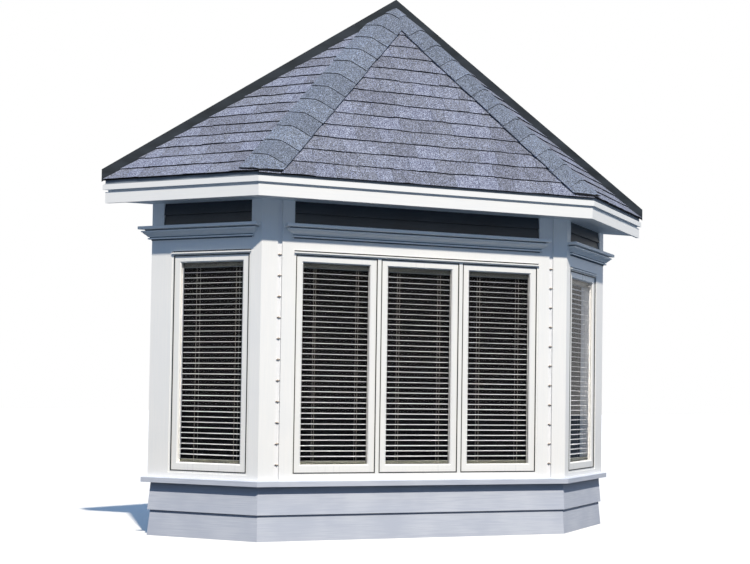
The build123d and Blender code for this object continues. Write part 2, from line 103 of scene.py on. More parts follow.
def solve(tree, values, text):
    # Writes formulas as nodes, one line each, and keeps every result in values under its name
    def build(part):
        if isinstance(part, ast.Constant):
            return float(part.value)
        if isinstance(part, ast.Name):
            value = values[part.id]
            return firstOutput(value) if isinstance(value, bpy.types.Node) else value
        if isinstance(part, ast.Attribute):
            return addNode(tree, "ShaderNodeSeparateXYZ", {0: build(part.value)}).outputs[part.attr.upper()]
        if isinstance(part, ast.UnaryOp):
            if isinstance(part.operand, ast.Constant):
                return -build(part.operand)
            sign, terms = ast.Mult, (part.operand, ast.Constant(-1))
        elif isinstance(part, ast.Call):
            sign, terms = part.func.id, part.args
        elif isinstance(part, ast.Compare):
            sign, terms = type(part.ops[0]), (part.left, part.comparators[0])
        else:
            sign, terms = type(part.op), (part.left, part.right)
        terms = [build(term) for term in terms]
        if sign in formulaWords:
            kind, keys, settings = formulaWords[sign]
        else:
            kind, keys, settings = "ShaderNodeMath", range(3), {"operation": formulaSigns[sign]}
            if getattr(terms[0], "type", "") == "VECTOR":
                kind = "ShaderNodeVectorMath"
                if sign is ast.Mult:                # a vector times a number
                    keys, settings = (0, 3), {"operation": "SCALE"}
        return firstOutput(addNode(tree, kind, dict(zip(keys, terms)), **settings))

    for line in filter(str.strip, text.splitlines()):
        step = ast.parse(line.strip()).body[0]
        values[step.targets[0].id] = result = build(step.value)
    return result


# Set-out of the three sides, read from the boards that stand on them
cant = radians(42)                          # turn of the angled sides away from the front
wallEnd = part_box("casing_sides")[1].x
depth = -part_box("casing_front")[0].y
halfFront = wallEnd - depth / tan(cant)
sideMiddle = (halfFront + wallEnd) / 2
facets = {
    "front": Matrix.Translation((0, -depth, 0)),
    "left": Matrix.Translation((-sideMiddle, -depth / 2, 0)) @ Matrix.Rotation(-cant, 4, "Z"),
    "right": Matrix.Translation((sideMiddle, -depth / 2, 0)) @ Matrix.Rotation(cant, 4, "Z"),
}
sashLow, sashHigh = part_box("sash_front_middle")
sashHalf = (sashHigh.x - sashLow.x) / 2
casements = []                              # (side, number on its side, node, its middle on the side)
for side, windows in (("front", "sash_front_left sash_front_middle sash_front_right"),
                      ("left", "sash_left"), ("right", "sash_right")):
    for number, node in enumerate(windows.split()):
        low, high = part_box(node)
        casements.append((side, number, node, (facets[side].inverted() @ ((low + high) / 2)).x))


def onSide(side, x):
    return facets[side] @ Matrix.Translation((x, 0, 0))


def materialTree(name, colour, roughness, **sockets):
    material = bpy.data.materials.new(name)
    material.use_nodes = True
    tree = material.node_tree
    tree.nodes.clear()
    shader = addNode(tree, "ShaderNodeBsdfPrincipled",
                     {"Base Color": colour, "Roughness": roughness, **sockets})
    addNode(tree, "ShaderNodeOutputMaterial", {"Surface": shader})
    return material, tree, shader


def boardSpace(tree, side="front"):
    # (along the side, through it, height): on the angled sides the left one is the right one mirrored
    place = addNode(tree, "ShaderNodeTexCoord").outputs["Object"]
    if side == "front":
        return place
    flat = solve(tree, {"place": place}, "flat = xyz(abs(place.x), place.y, place.z)")
    return addNode(tree, "ShaderNodeVectorRotate", {"Vector": flat, "Angle": -cant}, rotation_type="Z_AXIS")


def mottle(tree, size, stretch=(1, 1, 1), detail=3.0, roughness=0.5, side="front"):
    # Cloudy pattern: size is that of one feature in millimetres, stretch multiplies it along each axis
    place = addNode(tree, "ShaderNodeMapping",
                    {"Vector": boardSpace(tree, side), "Scale": [1000 / (size * s) for s in stretch]})
    return addNode(tree, "ShaderNodeTexNoise",
                   {"Vector": place, "Scale": 1.0, "Detail": detail, "Roughness": roughness})


def surface(tree, shader, tone, height=None, relief=0.0, strength=1.0):
    # relief is the depth of the height pattern in millimetres
    fillInputs(tree, shader, {"Base Color": tone})
    if relief:
        bump = addNode(tree, "ShaderNodeBump",
                       {"Height": height, "Distance": relief / 1000, "Strength": strength})
        fillInputs(tree, shader, {"Normal": bump})


def mottledFinish(name, colour, roughness, size, stretch, stops, relief=0.0, detail=3.0, **sockets):
    # A finish with one mottle between two tones
    material, tree, shader = materialTree(name, colour, roughness, **sockets)
    pattern = mottle(tree, size, stretch, detail)
    tone = addNode(tree, "ShaderNodeValToRGB", {"Fac": pattern}, stops)
    surface(tree, shader, tone, pattern, relief)
    return material


# Colour, shade, roughness, size of the grain in mm and its relief in mm
paint = {
    "trim": ("#F7F8F8", "#F3F5F6", 0.42, 9.0, 0.10),
    "siding": ("#CAD1DF", "#BBC3D4", 0.5, 7.0, 0.25),
    # The frieze's dark slate is painted shade: it stands for the deep shade under the eave
    "frieze": ("#2E3740", "#232B34", 0.5, 7.0, 0.4),
    # The darker paint for the hood's quirks is painted shade
    "quirkShade": ("#727B84", "#5B646D", 0.8, 6.0, 0.3),
    "window": ("#F6F7F6", "#F2F4F4", 0.28, 22.0, 0.0),
}


def paintedBoard(name, kind, side="front", upright=False):
    # Brushed house paint on sawn softwood: a satin film that lets a little grain through
    colour, shade, dull, size, relief = paint[kind]
    material, tree, shader = materialTree(name, colour, dull)
    grain = mottle(tree, size, (1, 1, 30) if upright else (30, 1, 1), 5.0, side=side)
    weather = mottle(tree, 320, detail=2.0, side=side)
    brushed = solve(tree, {"grain": grain, "weather": weather}, "brushed = grain * weather")
    tone = addNode(tree, "ShaderNodeValToRGB", {"Fac": brushed}, [(0.16, shade), (0.34, colour)])
    worn = addNode(tree, "ShaderNodeMapRange", {"Value": grain, "To Min": dull - 0.06, "To Max": dull + 0.08})
    fillInputs(tree, shader, {"Roughness": worn})
    surface(tree, shader, tone, grain, relief)
    return material


def sawnTimber(name, colour, dark, spacing, stretch, roughness=0.75):
    # Rough softwood: growth rings cut lengthwise, dull and a little hairy
    material, tree, shader = materialTree(name, colour, roughness)
    grain = mottle(tree, spacing, stretch, 6.0, 0.6)
    patch = mottle(tree, 260, detail=2.0)
    rings = addNode(tree, "ShaderNodeValToRGB", {"Fac": grain}, [(0.36, dark), (0.62, colour)])
    tone = addNode(tree, "ShaderNodeMix", {"Factor": patch, "A": rings, "B": colour}, data_type="RGBA")
    surface(tree, shader, tone, grain, 0.6)
    return material


def floorBoards():
    # Oiled oak strip floor, boards 90 mm wide along the house wall
    material, tree, shader = materialTree("oiledOakFloor", "#8A5F3C", 0.4)
    boards = addNode(tree, "ShaderNodeTexBrick",
                     {"Vector": boardSpace(tree), "Color1": "#8F6440", "Color2": "#7A5233",
                      "Mortar": "#2C1C10", "Scale": 1.0, "Brick Width": 1.3, "Row Height": 0.09,
                      "Mortar Size": 0.0015}, offset=0.37)
    grain = mottle(tree, 8, (40, 1, 1), 6.0)
    tone = addNode(tree, "ShaderNodeMix", {"Factor": grain, "A": boards, "B": "#5F3F25"}, data_type="RGBA")
    tone = addNode(tree, "ShaderNodeMix", {"Factor": 0.45, "A": boards, "B": tone}, data_type="RGBA")
    surface(tree, shader, tone, grain, 0.3)
    return material


# How far in from the front of its side the wall's layers begin and end
wallLayers = (0.025, 0.140)


def wallBoards(side):
    # Framed wall: plasterboard to the room, studs, sheathing and dark building paper outside. The paper's
    # near-black band is also painted shade for the gaps where it shows
    material, tree, shader = materialTree("framedWall" + side.capitalize(), "#E4E1D8", 0.8)
    inward = facets[side].to_3x3() @ Vector((0, 1, 0))
    start = facets[side].translation.dot(inward)
    through = solve(tree, {"place": boardSpace(tree), "inward": inward}, "through = dot(place, inward)")
    layers = addNode(tree, "ShaderNodeMapRange",
                     {"Value": through, "From Min": start + wallLayers[0], "From Max": start + wallLayers[1]})
    # The first band is dark building paper and also painted shade in the gaps round the windows
    bands = addNode(tree, "ShaderNodeValToRGB", {"Fac": layers},
                    [(0.0, "#23272B"), (0.03, "#B08A5C"), (0.13, "#D9BB8C"), (0.885, "#EAE7DF")])
    bands.color_ramp.interpolation = "CONSTANT"
    stipple = mottle(tree, 6, detail=4.0)
    shade = addNode(tree, "ShaderNodeMix", {"Factor": stipple, "A": "#FFFFFF", "B": "#D9D6CE"},
                    data_type="RGBA")
    tone = addNode(tree, "ShaderNodeMix", {"Factor": 0.35, "A": bands, "B": shade}, data_type="RGBA",
                   blend_type="MULTIPLY")
    surface(tree, shader, tone, stipple, 0.35)
    return material


def asphaltShingle(name, dark, light, felt, speck):
    # Asphalt shingle: slate granules pressed in bitumen, matte, each tab its own blend
    material, tree, shader = materialTree(name, light, 0.92, **{"Specular IOR Level": 0.25})
    tone, butt = (addNode(tree, "ShaderNodeAttribute", attribute_name=word).outputs["Fac"]
                  for word in ("tone", "butt"))
    granules = mottle(tree, 8.0, detail=5.0, roughness=0.8)    # coarser than the 1.5 mm real ones
    blotch = mottle(tree, 30, detail=4.0, roughness=0.7)
    streak = mottle(tree, 400, detail=2.0)
    body = addNode(tree, "ShaderNodeValToRGB", {"Fac": tone}, [(0.02, felt), (0.12, dark), (0.95, light)])
    for share, pattern, stops in ((0.9, granules, [(0.39, "#1E2026"), (0.5, "#949494"), (0.61, speck)]),
                                  (0.45, blotch, [(0.32, "#56585E"), (0.68, "#BCBCBC")]),
                                  (0.25, streak, [(0.35, "#6A6A6A"), (0.65, "#A0A0A0")])):
        layer = addNode(tree, "ShaderNodeValToRGB", {"Fac": pattern}, stops)
        body = addNode(tree, "ShaderNodeMix", {"Factor": share, "A": body, "B": layer}, data_type="RGBA",
                       blend_type="OVERLAY")
    body = addNode(tree, "ShaderNodeMix", {"Factor": butt, "A": body, "B": felt}, data_type="RGBA")
    surface(tree, shader, body, granules, 1.2, 0.8)
    return material


def ladderTape():
    # Woven polyester cord, a turn every 3 mm
    material, tree, shader = materialTree("blindLadderCord", "#8C8A84", 0.8)
    weave = addNode(tree, "ShaderNodeTexWave", {"Vector": boardSpace(tree), "Scale": 1000 / 3.0 / (2 * pi)},
                    bands_direction="Z").outputs["Fac"]
    tone = addNode(tree, "ShaderNodeValToRGB", {"Fac": weave}, [(0.2, "#716F69"), (0.8, "#9A9892")])
    surface(tree, shader, tone)
    return material


def windowGlass():
    # Clear sealed unit. Lamps shine through it, and a dim reflection stays on it. Real glass has an
    # IOR of 1.5: here it is less, because two faces mirror the white studio
    material, tree, shader = materialTree("clearGlass", "#F6F5F6", 0.0, **{
        "Transmission Weight": 1.0, "IOR": 1.11, "Specular IOR Level": 0.2})
    output = shader.outputs[0].links[0].to_node
    clear = addNode(tree, "ShaderNodeBsdfTransparent", {"Color": "#ECECED"})
    shadowRay = addNode(tree, "ShaderNodeLightPath").outputs["Is Shadow Ray"]
    pane = addNode(tree, "ShaderNodeMixShader", {0: shadowRay, 1: shader, 2: clear})
    fillInputs(tree, output, {"Surface": pane})
    return material


def paintedMetal(name, colour, light):
    # Folded steel under slate paint, chalky with age
    return mottledFinish(name, colour, 0.65, 90, (3, 1, 1), [(0.35, colour), (0.7, light)], 0.5, 4.0,
                         **{"Specular IOR Level": 0.2})


trimFront = paintedBoard("trimPaintFront", "trim")
trimSides = paintedBoard("trimPaintSides", "trim", "sides")
trimUpright = paintedBoard("trimPaintUpright", "trim", upright=True)
sidingFront = paintedBoard("sidingPaintFront", "siding")
sidingSides = paintedBoard("sidingPaintSides", "siding", "sides")
# Painted shade: the frieze is coloured as dark as the shade under the eave
friezeShadePaint = paintedBoard("friezeShadePaint", "frieze")
quirkShadePaint = paintedBoard("paintedQuirkShade", "quirkShade")       # painted shade: a darker paint in the hollows of the hood mouldings
windowUpright = paintedBoard("windowEnamel", "window", upright=True)
shingleSlate = asphaltShingle("shingleGranules", "#999EAE", "#AEB4C3", "#15171C", "#E4E6EC")
hipSlate = asphaltShingle("hipShingleGranules", "#909AAB", "#A2ACBC", "#15171C", "#DADFE6")
studWood = sawnTimber("sawnPineLengthwise", "#D2AE7C", "#A97F4E", 7, (40, 1, 1))
studWoodIn = sawnTimber("sawnPineInward", "#D2AE7C", "#A97F4E", 7, (1, 40, 1))
roofBoards = sawnTimber("roofSheathing", "#B98F5E", "#8E683E", 26, (2, 1, 1.5), 0.85)
# The flashing's near-black slate is partly painted shade: it stands for the shade where the roof meets the
# house wall
wallMetal = paintedMetal("flashingPaint", "#20262C", "#343B43")
eaveMetal = paintedMetal("dripEdgePaint", "#6F7985", "#86909C")
# Painted gypsum board with a rolled stipple
ceilingPaint = mottledFinish("rolledCeilingPaint", "#EDECE6", 0.85, 7, (1, 1, 1),
                             [(0.3, "#DEDCD5"), (0.6, "#F0EFEA")], 0.5)
# Baked enamel on aluminium strip: smooth, satin, a little dust along the crown. The rails are olive grey
slatPaint = mottledFinish("blindSlatEnamel", "#C6CAD0", 0.35, 40, (6, 1, 1),
                          [(0.35, "#BABEC5"), (0.6, "#CCD0D6")])
railPaint = mottledFinish("blindRailEnamel", "#5E6158", 0.4, 30, (8, 1, 1),
                          [(0.35, "#53564D"), (0.6, "#666960")])
tapeWeave = ladderTape()
# White powder coat on an aluminium track, zinc-plated steel dulled by weather
trackPaint = mottledFinish("stormTrackCoat", "#F5F6F8", 0.45, 14, (1, 1, 6),
                           [(0.3, "#EEF0F3"), (0.6, "#F7F8FA")])
studMetal = mottledFinish("zincStud", "#B5ABA2", 0.55, 5, (1, 1, 1),
                          [(0.3, "#93887F"), (0.7, "#C6BDB4")], Metallic=1.0)
# Moulded rubber, black gone grey with dust. Its near-black is also painted shade for the shadow line in the
# casement gaps
stripRubber = mottledFinish("stripRubber", "#24272B", 0.7, 12, (1, 1, 1),
                            [(0.35, "#1D2023"), (0.65, "#2C3034")])

cadFinishes = (
    (studWoodIn, "floor_joists rafters hip_rafters"),
    (studWood, "wall_ledgers eave_ladder_front eave_ladder_sides"),
    (roofBoards, "roof_deck_front roof_deck_sides"),
    (floorBoards(), "floor_deck"), (ceilingPaint, "ceiling"),
    (wallBoards("front"), "wall_front"),
    (wallBoards("left"), "wall_left"), (wallBoards("right"), "wall_right"),
    (sidingFront, "skirt_front water_table_front"), (sidingSides, "skirt_sides water_table_sides"),
    (friezeShadePaint, "frieze"),
    (trimUpright, "corner_board_left corner_board_right casing_front casing_sides"),
    (trimFront, "soffit_front fascia_front"), (trimSides, "soffit_sides fascia_sides"),
    (windowUpright, "frame_front frame_sides inner_casing sash_left sash_right sash_front_left "
                    "sash_front_middle sash_front_right"),
    (windowGlass(), "glass"), (wallMetal, "wall_flashing"),
)
for material, names in cadFinishes:
    for nodeName in names.split():
        nodes[nodeName].data.materials.clear()
        nodes[nodeName].data.materials.append(material)
print("finishes on", sum(len(names.split()) for material, names in cadFinishes), "nodes")


def treeMesh(name, recipe, sizes, base=None):
    # Runs a Geometry Nodes tree on an object and returns its result as a plain mesh.
    # The tree is made at its first use, with an input for each of the sizes, by its value's type
    tree = bpy.data.node_groups.get(name)
    if not tree:
        tree = bpy.data.node_groups.new(name, "GeometryNodeTree")
        for way in ("INPUT", "OUTPUT"):
            tree.interface.new_socket("Geometry", in_out=way, socket_type="NodeSocketGeometry")
        for label, value in sizes.items():
            tree.interface.new_socket(label, in_out="INPUT",
                                      socket_type="NodeSocket" + type(value).__name__.capitalize())
        given = addNode(tree, "NodeGroupInput").outputs
        values = {label: given[label] for label in sizes}
        shape = recipe(tree, values, given["Geometry"])
        shape = addNode(tree, "GeometryNodeRealizeInstances", {0: shape})
        shape = addNode(tree, "GeometryNodeSetMaterial", {"Geometry": shape, "Material": given["finish"]})
        addNode(tree, "NodeGroupOutput", {0: shape})
    carrier = bpy.data.objects.new(name, base or bpy.data.meshes.new(name))
    scene.collection.objects.link(carrier)
    modifier = carrier.modifiers.new(name, "NODES")
    modifier.node_group = tree
    for item in tree.interface.items_tree:
        if item.in_out == "INPUT" and item.name in sizes:
            modifier[item.identifier] = sizes[item.name]
    made = bpy.data.meshes.new_from_object(carrier.evaluated_get(bpy.context.evaluated_depsgraph_get()))
    carrier.modifiers.remove(modifier)
    bpy.data.objects.remove(carrier)
    return made


def meshFrom(shape, name, *materials):
    # Ends a bmesh as a mesh
    mesh = bpy.data.meshes.new(name)
    shape.to_mesh(mesh)
    shape.free()
    for material in materials:
        mesh.materials.append(material)
    return mesh


def placed(mesh, matrix):
    mesh = mesh.copy()
    mesh.transform(matrix)
    return mesh


def pieceFrom(name, meshes, slot, *replaced):
    # Joins meshes to one piece that rides on the body and stands for the given nodes
    joined = bmesh.new()
    materials = []
    for mesh in meshes:
        start = len(joined.faces)
        joined.from_mesh(mesh)
        joined.faces.ensure_lookup_table()
        materials += [material for material in mesh.materials if material not in materials]
        for face in joined.faces[start:]:
            face.material_index = materials.index(mesh.materials[face.material_index])
        bpy.data.meshes.remove(mesh)
    piece = bpy.data.objects.new(name, meshFrom(joined, name, *materials))
    scene.collection.objects.link(piece)
    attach(piece, "root")
    if replaced:
        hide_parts(*replaced)
    print(name, len(piece.data.polygons), "faces")


def outward(shape):
    bmesh.ops.recalc_face_normals(shape, faces=shape.faces[:])
    return shape


def blocks(name, material, boxes, bevel=0.0):
    shape = bmesh.new()
    for low, high in boxes:
        low, high = Vector(low), Vector(high)
        centre = Matrix.Translation((low + high) / 2) @ Matrix.Diagonal((*(high - low), 1))
        bmesh.ops.create_cube(shape, size=1, matrix=centre)
    if bevel:
        bmesh.ops.bevel(shape, geom=shape.edges[:], offset=bevel, segments=2, affect="EDGES", profile=0.7)
    return meshFrom(shape, name, material)


def prism(shape, near, far):
    # Closed solid between two outlines with as many points
    near, far = ([shape.verts.new(point) for point in outline] for outline in (near, far))
    shape.faces.new(near)
    shape.faces.new(reversed(far))
    for i in range(len(near)):
        shape.faces.new((near[i], near[i - 1], far[i - 1], far[i]))


def cutMesh(mesh, cuts):
    # Cuts closed shells by planes given as (point, direction that is cut away) and closes them again
    shape = bmesh.new()
    shape.from_mesh(mesh)
    for point, way in cuts:
        everything = shape.verts[:] + shape.edges[:] + shape.faces[:]
        bmesh.ops.bisect_plane(shape, geom=everything, dist=1e-5, plane_co=point, plane_no=way,
                               clear_outer=True)
        bmesh.ops.holes_fill(shape, edges=[e for e in shape.edges if e.is_boundary], sides=0)
    outward(shape).to_mesh(mesh)
    shape.free()


# Roof shingles: courses of tabs with shared random joints, cut at the hips and at the wall.
# The butts run in slow waves, waveScale is their noise scale per metre, and ownWave is each tab's share
roof = {
    "exposure": 0.127, "lap": 0.035, "tabWidth": 0.165, "tabSpread": 0.34, "gap": 0.0018,
    "butt": 0.0085, "lift": 0.0025, "wave": 0.0065, "waveScale": 5.0, "ownWave": 0.6,
    "leastTone": 0.12, "least": 0.004, "seed": 41,
}
spareColumns = 4                            # random joints still reach past both ends of a course
# What lies between the boards and the shingles, measured plumb, and the metal along the wall
roofBuild = {"deckBoards": 0.025, "layers": 0.020, "feltGap": 0.0015, "wallGap": 0.003, "flashingRise": 0.075}
# The joints of a tab, counted from its number. Each joint has a key, 997 apart from course to course,
# so the tabs on both sides of it draw the same number
tabPlace = """
    row = floor((index + 0.5) / columns)
    column = index - row * columns
    next = column + 1
    shift = random(0, 1, seed + 7, row)
    left = (column - shift + random(-tabSpread, tabSpread, seed, row * 997 + column)) * tabWidth + start
    right = (next - shift + random(-tabSpread, tabSpread, seed, row * 997 + next)) * tabWidth + start
"""
# Where the hips and the neighbours' eaves end a course, at some height up the slope
courseEnds = """
    {0}Left = max({0} * leftLean + leftFoot, {0} * leftTrimLean + leftTrim)
    {0}Right = min({0} * rightLean + rightFoot, {0} * rightTrimLean + rightTrim)
"""


def tabPoints(tree, values, count, tone):
    # A point for each tab, which keeps its number and a tone of its own
    values["index"] = addNode(tree, "GeometryNodeInputIndex")
    solve(tree, values, f"tabCount = {count}\n ownTone = {tone}")
    points = addNode(tree, "GeometryNodePoints", {"Count": values["tabCount"]})
    for name, kind, value in (("tone", "FLOAT", values["ownTone"]), ("tab", "INT", values["index"])):
        points = addNode(tree, "GeometryNodeStoreNamedAttribute",
                         {"Geometry": points, "Name": name, "Value": value}, data_type=kind, domain="POINT")
    return points


def tabShapes(tree, values, points, corners):
    # A flat tab on each point, with its lower face marked as a butt, ready to be moved corner by corner
    tab = addNode(tree, "GeometryNodeMeshCube", {"Size": (1, 1, 1), "Vertices X": corners})
    tabs = addNode(tree, "GeometryNodeInstanceOnPoints", {"Points": points, "Instance": tab})
    tabs = addNode(tree, "GeometryNodeRealizeInstances", {0: tabs})
    values["index"] = addNode(tree, "GeometryNodeInputNamedAttribute", {"Name": "tab"}, data_type="INT")
    values["place"] = addNode(tree, "GeometryNodeInputPosition")
    solve(tree, values, """
        x = place.x
        y = place.y
        z = place.z
        up = y + 0.5
        isButt = y < -0.49
    """)
    return addNode(tree, "GeometryNodeStoreNamedAttribute",
                   {"Geometry": tabs, "Name": "butt", "Value": values["isButt"]}, data_type="FLOAT",
                   domain="FACE")


def shingleCourses(tree, values, underlay):
    points = tabPoints(tree, values, "courses * columns", "random(leastTone, 1, seed + 3, index)")
    solve(tree, values, tabPlace + """
        low = row * exposure
        high = min(low + (exposure + lap), height)
    """ + courseEnds.format("low") + courseEnds.format("high") + """
        isOff = max(left + least > max(lowRight, highRight), right - least < min(lowLeft, highLeft))
    """)
    points = addNode(tree, "GeometryNodeDeleteGeometry", {"Geometry": points, "Selection": values["isOff"]},
                     domain="POINT")
    tabs = tabShapes(tree, values, points, 5)
    solve(tree, values, tabPlace + """
        inner = gap * 0.5 + left
        outer = gap * -0.5 + right
        across = inner + (x + 0.5) * (outer - inner)
        length = exposure + lap
        bend = noise(xyz(across, row), waveScale, 2) * 4 + -2 + random(-1, 1, seed + 11, index) * ownWave
        rise = row * exposure + up * length
        rise = min(max(rise + bend * wave * (1 - up), 0), height)
    """ + courseEnds.format("rise") + """
        across = min(max(across, riseLeft), riseRight)
        out = 0 - up * butt * length / exposure - (0.5 - z) * butt
        out = out + random(0, lift, seed + 5, index) * (z + 0.5)
        spot = xyz(across, rise, out)
    """)
    tabs = addNode(tree, "GeometryNodeSetPosition", {"Geometry": tabs, "Position": values["spot"]})
    tabs = addNode(tree, "GeometryNodeMergeByDistance", {"Geometry": tabs, "Distance": 0.0001})
    joint = addNode(tree, "GeometryNodeJoinGeometry")
    for part in (underlay, tabs.outputs[0]):
        tree.links.new(part, joint.inputs[0])
    return joint


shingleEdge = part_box("shingles_front")[0].y
apex = Vector((0, 0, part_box("wall_flashing")[1].z - roofBuild["flashingRise"]))
eaveCorner = Vector((halfFront - (shingleEdge + depth) * tan(cant / 2), shingleEdge, 0))
wallCorner = Vector((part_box("shingles_right")[1].x, 0, 0))
deckLow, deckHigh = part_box("roof_deck_front")
deckTop = deckLow.z + roofBuild["deckBoards"]
hipFoot = Vector((deckHigh.x, deckLow.y, deckTop + roofBuild["layers"]))
wallCut = (0, -roofBuild["wallGap"], 0), (0, 1, 0)


def mirrored(point, sign):
    return Vector((point.x * sign, point.y, point.z))


def slopeSpace(name):
    # Origin at the left end of the shingle edge, X along it, Y up the slope, Z out of the roof
    turn = facets[name].to_3x3()
    along, inward = turn.col[0], turn.col[1]
    sign = -1 if name == "left" else 1
    foot = mirrored(hipFoot, sign)
    pitch = (apex.z - foot.z) / (apex - foot).dot(inward)
    upward = (inward + Vector((0, 0, pitch))).normalized()
    corner = mirrored(eaveCorner, sign)
    corner.z = foot.z + (corner - foot).dot(inward) * pitch
    space = Matrix((along, upward, along.cross(upward))).transposed().to_4x4()
    space.translation = {"right": corner, "left": Vector((-wallCorner.x, 0, corner.z)),
                         "front": mirrored(corner, -1)}[name]
    return space, pitch


def line(first, second):
    lean = (second.x - first.x) / (second.y - first.y)
    return first.x - first.y * lean, lean


def roofSlope(name, seed):
    space, pitch = slopeSpace(name)
    flat = space.inverted()
    top = flat @ apex
    feet = {sign: flat @ mirrored(hipFoot, sign) for sign in (-1, 1)}
    slopeCos = 1 / sqrt(1 + pitch * pitch)
    trimLean = slopeCos / tan(cant)                # the neighbour's shingle edge runs off at this slant
    width = 2 * eaveCorner.x if name == "front" else (eaveCorner - wallCorner).length
    ends = {}                                      # (foot, lean) of the hip and of the neighbour's eave
    for end, foot, x, lean in (("left", feet[1 if name == "right" else -1], 0.0, -trimLean),
                               ("right", feet[-1 if name == "left" else 1], width, trimLean)):
        ends[end] = line(Vector((x, 0)), top) * 2 if name == end else line(foot, top) + (x, lean)
    start = min(0.0, top.x) - roof["tabWidth"]
    reach = max(width, top.x) - min(0.0, top.x)
    sizes = {**roof, "courses": int(ceil(top.y / roof["exposure"])), "start": start, "height": top.y,
             "columns": int(ceil(reach / roof["tabWidth"])) + spareColumns, "seed": seed,
             "finish": shingleSlate}
    for end in ends:
        for label, value in zip(("Foot", "Lean", "Trim", "TrimLean"), ends[end]):
            sizes[end + label] = float(value)

    def edge(end, height):
        foot, lean, trim, trimLeanHere = ends[end]
        pick = max if end == "left" else min
        return pick(foot + lean * height, trim + trimLeanHere * height)

    kink = feet[-1 if name == "left" else 1].y
    plan = [(edge("left", 0.0), 0.0), (edge("right", 0.0), 0.0), (edge("right", kink), kink),
            (top.x, top.y), (edge("left", kink), kink)]
    felt = bmesh.new()                             # underlay that the tabs lie on, down to the roof boards
    prism(felt, *([(x, y, z) for x, y in plan] for z in (-roofBuild["layers"] * slopeCos,
                                                         -roof["butt"] - roofBuild["feltGap"])))
    made = treeMesh("shingleCourses", shingleCourses, sizes, meshFrom(outward(felt), "underlay"))
    made.transform(space)
    cutMesh(made, [wallCut, (mirrored(eaveCorner, -1 if name == "left" else 1),
                             facets[name].to_3x3() @ Vector((0, -1, 0)))])
    pieceFrom("roof_shingles_" + name, [made], "shingles", "shingles_" + name)


for offset, name in enumerate(("front", "left", "right")):
    roofSlope(name, roof["seed"] + offset)


# Hip shingles folded over the hips
hip = {"exposure": 0.180, "lap": 0.04, "wing": 0.150, "fold": 0.022, "lowTop": 0.015, "highTop": 0.008,
       "thickness": 0.007, "crooked": 0.004, "start": -0.035, "leastTone": 0.2, "seed": 5}


def hipCaps(tree, values, nothing):
    points = tabPoints(tree, values, "count", "random(leastTone, 1, seed, index)")
    caps = tabShapes(tree, values, points, 13)
    # The corners crowd towards the fold, and what runs out over an eave is drawn back up the hip
    spot = solve(tree, values, """
        bent = x * 2 * (abs(x) * 1.2 + 0.4)
        skew = random(-1, 1, seed + 2, index) * crooked
        across = bent * wing + skew
        along = up * (exposure + lap) + (index * exposure + start) + skew
        aside = across * -1
        frontReach = (aside + root(aside * aside + fold * fold)) * 0.5
        sideReach = (across + root(across * across + fold * fold)) * 0.5
        turn = ease(across, fold * -1, fold)
        normal = unit(frontNormal * (1 - turn) + sideNormal * turn)
        height = lowTop + up * (highTop - lowTop) - (0.5 - z) * thickness
        spot = foot + climb * along + (frontWing * frontReach + sideWing * sideReach) + normal * height
        frontShift = max(dot(spot, frontOut) - frontLimit, 0) / (dot(climb, frontOut) * -1)
        sideShift = max(dot(spot, sideOut) - sideLimit, 0) / (dot(climb, sideOut) * -1)
        spot = spot + climb * max(frontShift, sideShift)
    """)
    return addNode(tree, "GeometryNodeSetPosition", {"Geometry": caps, "Position": spot})


def hipRow(name):
    sign = -1 if name == "left" else 1
    foot = mirrored(hipFoot, sign)
    climb = (apex - foot).normalized()
    sizes = {**hip, "seed": hip["seed"] + sign, "foot": foot, "climb": climb, "finish": hipSlate,
             "count": int(ceil(((apex - foot).length - hip["start"]) / hip["exposure"])) + 1}
    for label, side, way in (("front", "front", sign), ("side", name, -sign)):
        normal = slopeSpace(side)[0].to_3x3().col[2]
        out = facets[side].to_3x3() @ Vector((0, -1, 0))
        sizes.update({label + "Normal": normal, label + "Wing": normal.cross(climb).normalized() * way,
                      label + "Out": out, label + "Limit": mirrored(eaveCorner, sign).dot(out)})
    made = treeMesh("hipCaps", hipCaps, sizes)
    cutMesh(made, [wallCut, ((0, 0, 0), (-sign, 0, 0))])
    pieceFrom("hip_shingles_" + name, [made], "hip_shingles", "hip_caps_" + name)


for name in ("left", "right"):
    hipRow(name)


# Blinds: crowned slats on ladder tapes between a head rail and a bottom rail. Angles are in degrees
blind = {"pitch": 0.040, "slatDepth": 0.050, "thickness": 0.0012, "crown": 0.002,
         "tilt": 4.0, "uneven": 0.8, "unlevel": 0.08,     # unlevel is the share of uneven end to end
         "headRail": 0.072, "bottomRail": 0.022, "tape": 0.0022, "tapeThickness": 0.0012,
         "tapes": (0.25, 0.81), "tapeFoot": 0.004, "tapeHead": 0.006, "bevel": 0.002, "seed": 3}


def rowOf(tree, values, shape):
    # Copies of a shape on a line of points
    points = addNode(tree, "GeometryNodeMeshLine",
                     {"Count": values["count"], "Start Location": values["first"], "Offset": values["step"]})
    return addNode(tree, "GeometryNodeInstanceOnPoints",
                   {"Points": points, "Instance": shape, "Rotation": values["turn"]})


def slatRows(tree, values, nothing):
    values["place"] = addNode(tree, "GeometryNodeInputPosition")
    solve(tree, values, """
        size = xyz(width, slatDepth, thickness)
        share = place.y / slatDepth
        bow = xyz(0, 0, (1 - share * share * 4) * crown)
        first = xyz(0, 0, top)
        step = xyz(0, 0, -pitch)
        wobble = random(-uneven, uneven, seed)
        turn = xyz(tilt + wobble, wobble * unlevel)
    """)
    slat = addNode(tree, "GeometryNodeMeshCube",
                   {"Size": values["size"], "Vertices X": 2, "Vertices Y": 7, "Vertices Z": 2})
    slat = addNode(tree, "GeometryNodeSetPosition", {"Geometry": slat, "Offset": values["bow"]})
    return rowOf(tree, values, slat)


blindLow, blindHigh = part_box("blinds_front")


